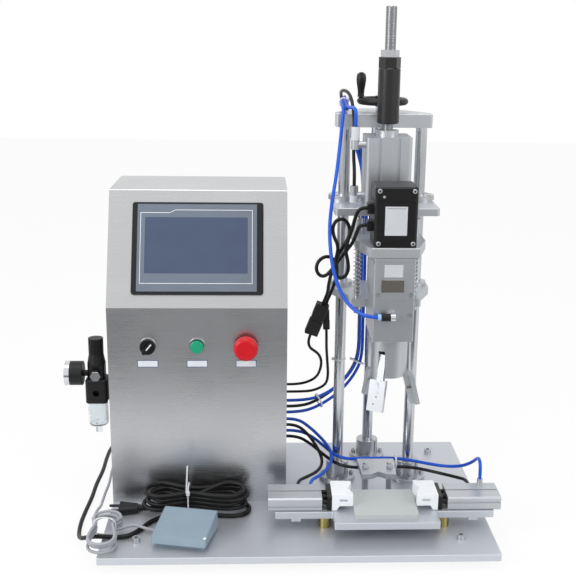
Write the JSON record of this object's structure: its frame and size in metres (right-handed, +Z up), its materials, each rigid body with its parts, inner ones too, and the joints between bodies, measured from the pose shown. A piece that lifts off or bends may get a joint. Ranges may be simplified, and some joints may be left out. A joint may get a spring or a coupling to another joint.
{
  "type": "bottle capping machine",
  "caption": "Bench-top rotary bottle capper: a servo head with a three-finger chuck on three columns beside a folded steel cabinet, with air clamps and a foot switch on one base plate.",
  "frame": {"origin": "on the bench, under the middle of the machine's footprint without its cords", "axes": "+X to the operator's right, -Y towards the operator, +Z up"},
  "size_m": [0.758, 0.5622, 0.8928],
  "materials": {
    "anodised_aluminium": "clear anodised and machined",
    "brushed_stainless": "brushed sheet",
    "ground_steel": "ground and chromed",
    "zinc_steel": "zinc plated",
    "black_oxide": "black oxide",
    "black_paint": "satin black",
    "black_plastic": "moulded",
    "screen_panel": "moulded bezel with a printed membrane",
    "black_rubber": "moulded",
    "red_plastic": "moulded",
    "green_plastic": "moulded",
    "chrome_ring": "polished",
    "white_polymer": "milled",
    "clear_pad": "milled, slightly see-through",
    "brass": "turned",
    "clear_bowl": "clear polycarbonate",
    "pedal_plastic": "moulded",
    "blue_hose": "extruded polyurethane",
    "black_hose": "extruded polyurethane",
    "black_cable": "extruded sheath",
    "grey_cable": "extruded sheath"
  },
  "bodies": {
    "frame": {"back_stop": "anodised_aluminium", "base_plate": "anodised_aluminium", "black_lines": "black_hose", "blue_lines": "blue_hose", "button_collars": "chrome_ring", "cabinet_back": "brushed_stainless", "cabinet_shell": "brushed_stainless", "clamp_bodies": "anodised_aluminium", "column_flanges": "zinc_steel", "cylinder_hoses": "black_hose", "filter_bowl": "clear_bowl", "filter_regulator": "black_plastic", "fixture_plate": "anodised_aluminium", "fixture_standoffs": "brass", "frame_screws": "zinc_steel", "guide_columns": "ground_steel", "head_hose": "blue_hose", "lead_connectors": "black_plastic", "motor_cable": "black_cable", "pedal_base": "pedal_plastic", "pedal_cord": "grey_cable", "pedal_cord_hank": "grey_cable", "power_cord": "black_cable", "power_cord_hank": "black_cable", "power_plug": "black_rubber", "pressure_gauge": "black_plastic", "rest_pad": "clear_pad", "rubber_feet": "black_rubber", "top_plate": "anodised_aluminium", "touch_panel": "screen_panel", "wall_grommets": "black_plastic"},
    "carriage": {"carriage_plate": "anodised_aluminium", "carriage_bearings": "zinc_steel", "cylinder_body": "anodised_aluminium", "guide_rods": "ground_steel", "lower_guide_plate": "anodised_aluminium", "return_springs": "zinc_steel"},
    "handwheel": {"handwheel": "black_plastic", "lead_screw": "ground_steel"},
    "crank_grip": {"crank_grip": "black_plastic"},
    "head": {"head_plate": "anodised_aluminium", "head_housing": "anodised_aluminium", "motor_body": "black_paint", "piston_rod": "ground_steel"},
    "stop": {"stop_sleeve": "black_oxide", "lock_nut": "zinc_steel"},
    "spindle": {"spindle": "ground_steel", "gripper_body": "anodised_aluminium"},
    "finger_1": {"gripper_finger_1": "zinc_steel"},
    "finger_2": {"gripper_finger_2": "zinc_steel"},
    "finger_3": {"gripper_finger_3": "zinc_steel"},
    "clamp_left": {"clamp_slide_left": "black_paint", "clamp_jaw_left": "white_polymer"},
    "clamp_right": {"clamp_slide_right": "black_paint", "clamp_jaw_right": "white_polymer"},
    "selector": {"selector_knob": "black_plastic"},
    "start": {"start_button": "green_plastic"},
    "estop": {"estop_button": "red_plastic"},
    "regulator_knob": {"regulator_knob": "black_plastic"},
    "pedal": {"pedal_lid": "pedal_plastic"}
  },
  "joints": [
    {"name": "carriage_lift", "type": "slide", "parent": "frame", "child": "carriage", "axis": [0, 0, 1], "range_m": [-0.12, 0.03], "deforming": ["head_hose", "cylinder_hoses", "motor_cable"]},
    {"name": "handwheel_turn", "type": "hinge", "parent": "frame", "child": "handwheel", "pos_m": [0.179, 0.0925, 0.727], "axis": [0, 0, 1], "range_deg": [-8700, 2200]},
    {"name": "grip_spin", "type": "hinge", "parent": "handwheel", "child": "crank_grip", "pos_m": [0.1405, 0.0925, 0.747], "axis": [0, 0, 1], "continuous": true},
    {"name": "head_press", "type": "slide", "parent": "carriage", "child": "head", "axis": [0, 0, -1], "range_m": [0, 0.0105], "stiffness_N_per_m": 3000, "springref_m": -0.045, "deforming": ["return_springs"]},
    {"name": "stop_adjust", "type": "slide", "parent": "head", "child": "stop", "axis": [0, 0, 1], "range_m": [0, 0.04]},
    {"name": "spindle_spin", "type": "hinge", "parent": "head", "child": "spindle", "pos_m": [0.179, -0.1055, 0.427], "axis": [0, 0, 1], "continuous": true},
    {"name": "finger_1_swing", "type": "hinge", "parent": "spindle", "child": "finger_1", "pos_m": [0.168, -0.12455, 0.327], "axis": [0.866, -0.5, 0], "range_deg": [0, 15]},
    {"name": "finger_2_swing", "type": "hinge", "parent": "spindle", "child": "finger_2", "pos_m": [0.201, -0.1055, 0.327], "axis": [0, 1, 0], "range_deg": [0, 15]},
    {"name": "finger_3_swing", "type": "hinge", "parent": "spindle", "child": "finger_3", "pos_m": [0.168, -0.08645, 0.327], "axis": [-0.866, -0.5, 0], "range_deg": [0, 15]},
    {"name": "clamp_left_slide", "type": "slide", "parent": "frame", "child": "clamp_left", "axis": [1, 0, 0], "range_m": [0, 0.02]},
    {"name": "clamp_right_slide", "type": "slide", "parent": "frame", "child": "clamp_right", "axis": [-1, 0, 0], "range_m": [0, 0.02]},
    {"name": "selector_turn", "type": "hinge", "parent": "frame", "child": "selector", "pos_m": [-0.2285, -0.0475, 0.322], "axis": [0, -1, 0], "range_deg": [0, 80]},
    {"name": "start_push", "type": "slide", "parent": "frame", "child": "start", "axis": [0, 1, 0], "range_m": [0, 0.004], "stiffness_N_per_m": 500},
    {"name": "estop_push", "type": "slide", "parent": "frame", "child": "estop", "axis": [0, 1, 0], "range_m": [0, 0.006]},
    {"name": "regulator_turn", "type": "hinge", "parent": "frame", "child": "regulator_knob", "pos_m": [-0.324, 0.0075, 0.307], "axis": [0, 0, 1], "range_deg": [-720, 720]},
    {"name": "pedal_press", "type": "hinge", "parent": "frame", "child": "pedal", "pos_m": [-0.15314, -0.13122, 0.034], "axis": [0.9781, -0.2079, 0], "range_deg": [0, 4], "stiffness_Nm_per_rad": 4, "springref_deg": -11.46}
  ],
  "couplings": [
    {"joint": "handwheel_turn", "follows": "carriage_lift", "rad_per_m": 1256.6},
    {"joint": "finger_2_swing", "follows": "finger_1_swing", "ratio": 1},
    {"joint": "finger_3_swing", "follows": "finger_1_swing", "ratio": 1}
  ]
}
